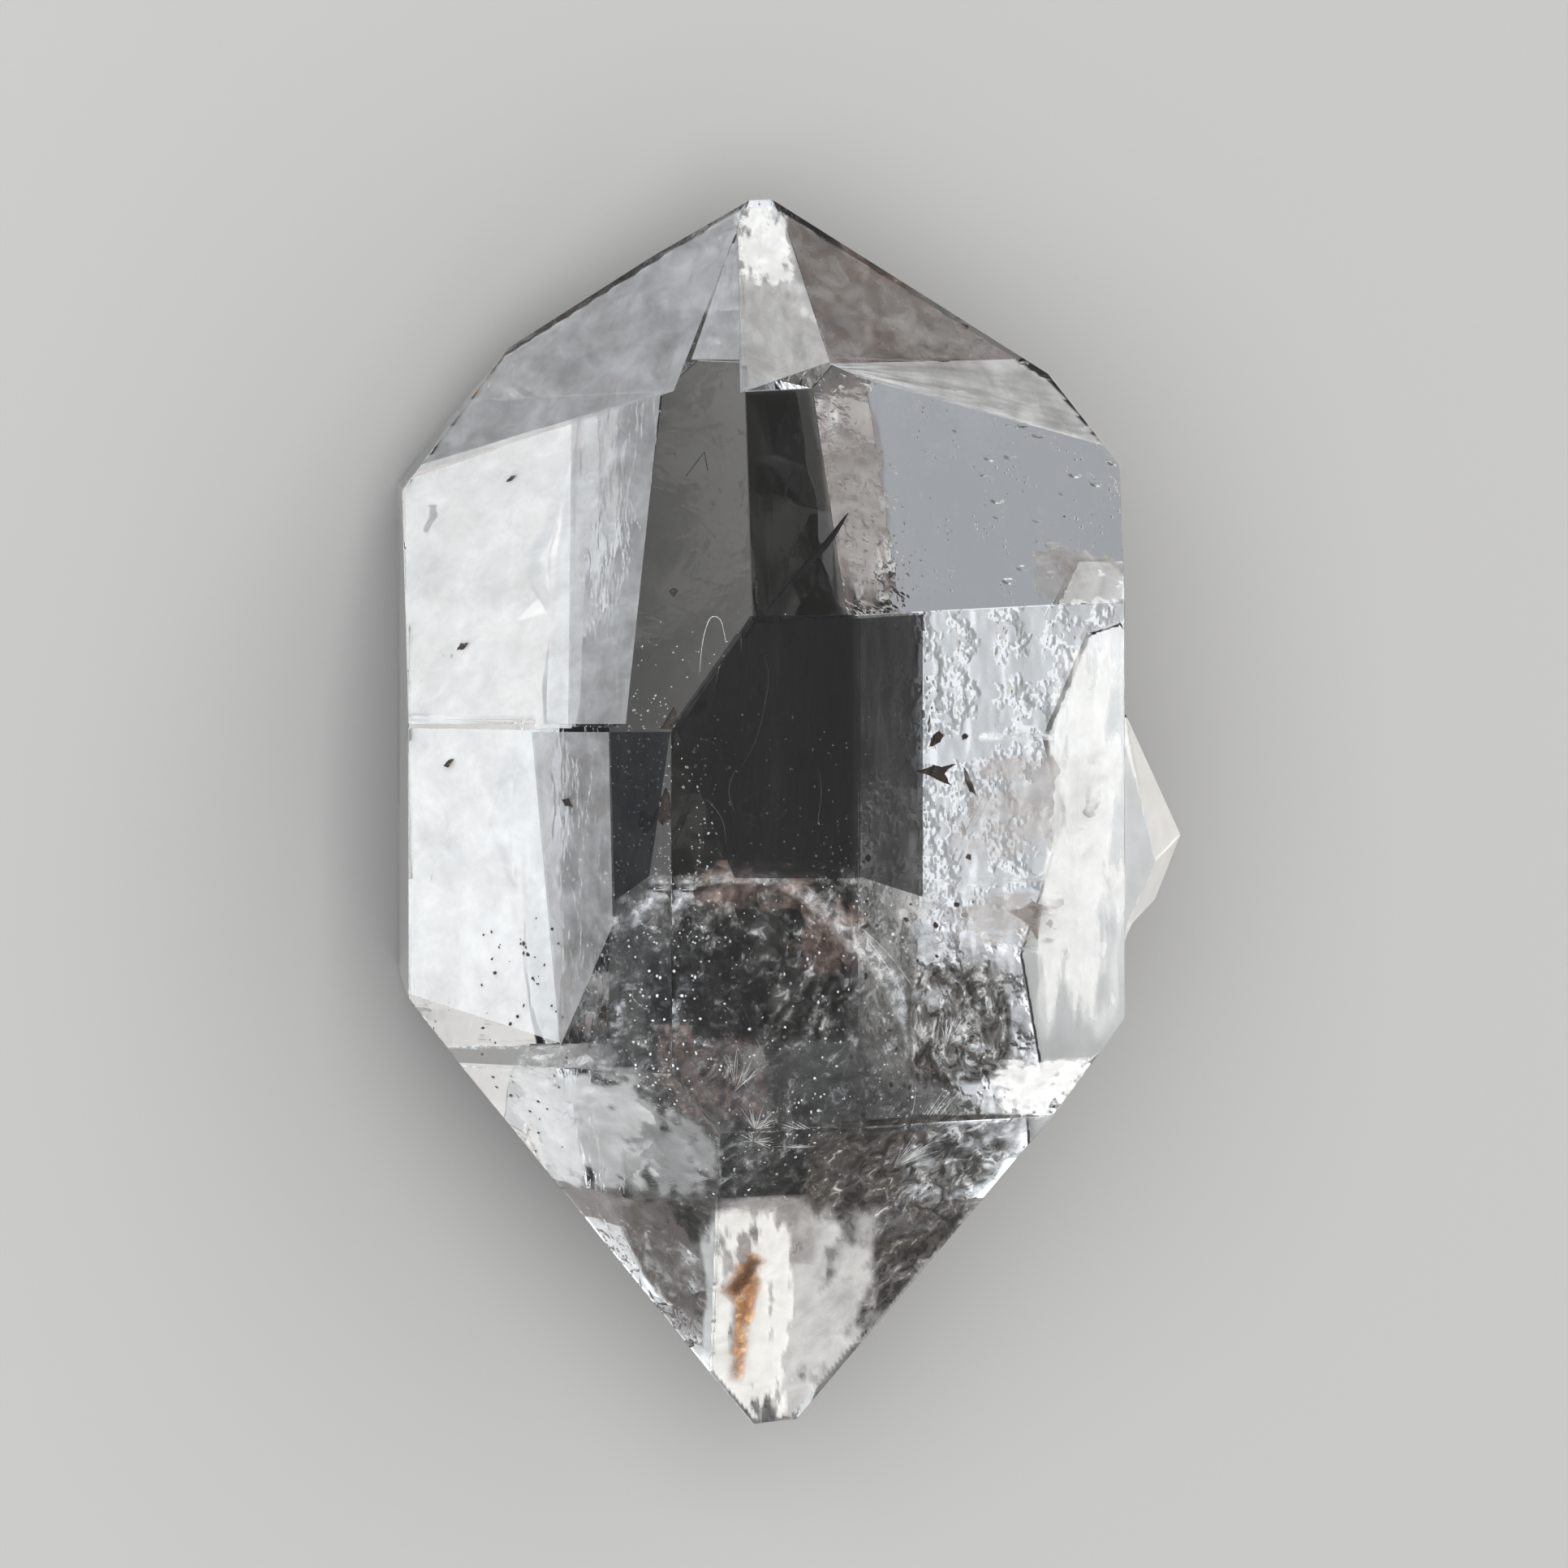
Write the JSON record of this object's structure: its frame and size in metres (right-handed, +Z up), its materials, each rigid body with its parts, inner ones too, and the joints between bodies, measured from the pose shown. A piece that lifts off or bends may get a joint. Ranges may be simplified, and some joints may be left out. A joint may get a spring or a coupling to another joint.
{
  "type": "herkimer diamond",
  "caption": "Clear double-pointed quartz crystal with a small crystal grown into one side, lying on a prism face. A mineral specimen to rest on a shelf or table.",
  "frame": {"origin": "middle of the bounding box's base, on the prism face that the crystal lies on", "axes": "+Y along the crystal's long axis, towards the broader tip; +Z up, square to the face it lies on; +X towards the side with the small crystal"},
  "size_m": [0.0218, 0.0302, 0.0138],
  "materials": {
    "clear_quartz": "polished",
    "dark_inclusion": "matte",
    "pale_veil": "satin",
    "rust_stain": "matte"
  },
  "bodies": {
    "root": {"crystal": "clear_quartz"}
  },
  "joints": []
}
